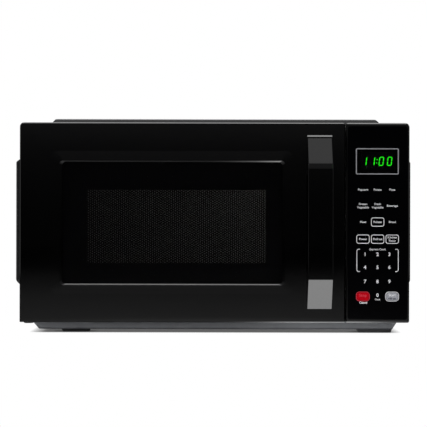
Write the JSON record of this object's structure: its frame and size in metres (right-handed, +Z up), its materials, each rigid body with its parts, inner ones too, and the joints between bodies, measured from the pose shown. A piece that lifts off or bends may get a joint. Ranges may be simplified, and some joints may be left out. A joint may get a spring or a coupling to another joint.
{
  "type": "microwave oven",
  "caption": "Countertop microwave oven: side-hinged door with handle, latch and smoked window, keypad panel, cavity with rotating glass tray, and the power and cooling parts inside the casing.",
  "frame": {"origin": "middle of the oven's outline, on the surface under its feet", "axes": "+X to the right seen from the front, +Y to the back, +Z up; the door faces -Y"},
  "size_m": [0.4528, 0.358, 0.2445],
  "materials": {
    "casing_paint": "fine-textured black paint",
    "zinc_steel": "zinc-plated",
    "cavity_paint": "baked grey enamel paint",
    "door_gloss": "polished black",
    "panel_gloss": "polished black",
    "keypad_film": "smooth printed film",
    "smoked_glass": "smoked, polished",
    "clear_sheet": "clear",
    "screen_paint": "black paint",
    "inner_matt": "moulded",
    "white_plastic": "moulded",
    "tray_glass": "tempered, clear",
    "lamp_glass": "clear bulb in a white holder",
    "circuit_board": "solder-masked",
    "mica": "mica board",
    "winding_copper": "varnished copper and laminated steel",
    "rubber_feet": "matt"
  },
  "bodies": {
    "root": {"outer_casing": "casing_paint", "back_panel": "zinc_steel", "base_plate": "zinc_steel", "casing_screw_left": "zinc_steel", "casing_screw_right": "zinc_steel", "casing_screw_top": "zinc_steel", "lower_hinge_bracket": "zinc_steel", "upper_hinge_bracket": "zinc_steel", "waveguide": "zinc_steel", "magnetron": "zinc_steel", "high_voltage_capacitor": "zinc_steel", "turntable_motor": "zinc_steel", "fan_motor": "zinc_steel", "front_plate": "cavity_paint", "cavity_floor": "cavity_paint", "cavity_ceiling": "cavity_paint", "cavity_left_wall": "cavity_paint", "cavity_right_wall": "cavity_paint", "cavity_rear_wall": "cavity_paint", "control_panel_housing": "panel_gloss", "keypad_overlay": "keypad_film", "display_lens": "smoked_glass", "cord_gland": "inner_matt", "upper_door_switch": "inner_matt", "monitor_switch": "inner_matt", "lower_door_switch": "inner_matt", "display_module": "inner_matt", "high_voltage_diode": "inner_matt", "fan_shroud": "inner_matt", "thermal_cutout": "inner_matt", "interlock_bracket": "white_plastic", "oven_lamp": "lamp_glass", "control_board": "circuit_board", "line_filter_board": "circuit_board", "waveguide_cover": "mica", "high_voltage_transformer": "winding_copper", "foot_front_left": "rubber_feet", "foot_front_right": "rubber_feet", "foot_rear_left": "rubber_feet", "foot_rear_right": "rubber_feet"},
    "door": {"door_outer_frame": "door_gloss", "door_window": "smoked_glass", "door_screen": "screen_paint", "door_inner_sheet": "clear_sheet", "door_inner_cover": "inner_matt", "door_handle": "door_gloss", "handle_screw_lower": "zinc_steel", "handle_screw_upper": "zinc_steel", "latch_spring": "zinc_steel"},
    "latch": {"door_latch": "white_plastic"},
    "coupler": {"turntable_coupler": "white_plastic"},
    "tray": {"glass_turntable": "tray_glass"},
    "ring": {"roller_ring": "white_plastic"},
    "roller_a": {"roller_1": "white_plastic"},
    "roller_b": {"roller_2": "white_plastic"},
    "roller_c": {"roller_3": "white_plastic"},
    "fan": {"fan_blade": "white_plastic"},
    "upper_plunger": {"upper_door_switch_plunger": "white_plastic"},
    "monitor_plunger": {"monitor_switch_plunger": "white_plastic"},
    "lower_plunger": {"lower_door_switch_plunger": "white_plastic"}
  },
  "joints": [
    {"name": "door_hinge", "type": "hinge", "parent": "root", "child": "door", "pos_m": [-0.209, -0.131, 0.126], "axis": [0, 0, -1], "range_deg": [0, 100]},
    {"name": "latch_slide", "type": "slide", "parent": "door", "child": "latch", "axis": [0, 0, 1], "range_m": [0, 0.004], "stiffness_N_per_m": 200, "springref_m": -0.004, "deforming": ["latch_spring"]},
    {"name": "turntable_spin", "type": "hinge", "parent": "root", "child": "coupler", "pos_m": [-0.041, 0.023, 0.04], "axis": [0, 0, 1], "continuous": true},
    {"name": "tray_lift", "type": "slide", "parent": "coupler", "child": "tray", "axis": [0, 0, 1], "range_m": [0, 0.03]},
    {"name": "roller_ring_spin", "type": "hinge", "parent": "root", "child": "ring", "pos_m": [-0.041, 0.023, 0.038], "axis": [0, 0, 1], "continuous": true},
    {"name": "roller_1_spin", "type": "hinge", "parent": "ring", "child": "roller_a", "pos_m": [-0.041, 0.12, 0.0382], "axis": [0, 1, 0], "continuous": true},
    {"name": "roller_2_spin", "type": "hinge", "parent": "ring", "child": "roller_b", "pos_m": [-0.125, -0.0255, 0.0382], "axis": [-0.866, -0.5, 0], "continuous": true},
    {"name": "roller_3_spin", "type": "hinge", "parent": "ring", "child": "roller_c", "pos_m": [0.043, -0.0255, 0.0382], "axis": [0.866, -0.5, 0], "continuous": true},
    {"name": "fan_spin", "type": "hinge", "parent": "root", "child": "fan", "pos_m": [0.16, 0.124, 0.172], "axis": [0, 1, 0], "continuous": true},
    {"name": "upper_switch_press", "type": "slide", "parent": "root", "child": "upper_plunger", "axis": [0, 1, 0], "range_m": [0, 0.0015], "stiffness_N_per_m": 300},
    {"name": "monitor_switch_press", "type": "slide", "parent": "root", "child": "monitor_plunger", "axis": [0, 1, 0], "range_m": [0, 0.0015], "stiffness_N_per_m": 300},
    {"name": "lower_switch_press", "type": "slide", "parent": "root", "child": "lower_plunger", "axis": [0, 1, 0], "range_m": [0, 0.0015], "stiffness_N_per_m": 300}
  ],
  "couplings": [
    {"joint": "roller_ring_spin", "follows": "turntable_spin", "ratio": 0.5},
    {"joint": "roller_1_spin", "follows": "turntable_spin", "ratio": -6.0625},
    {"joint": "roller_2_spin", "follows": "turntable_spin", "ratio": -6.0625},
    {"joint": "roller_3_spin", "follows": "turntable_spin", "ratio": -6.0625}
  ]
}
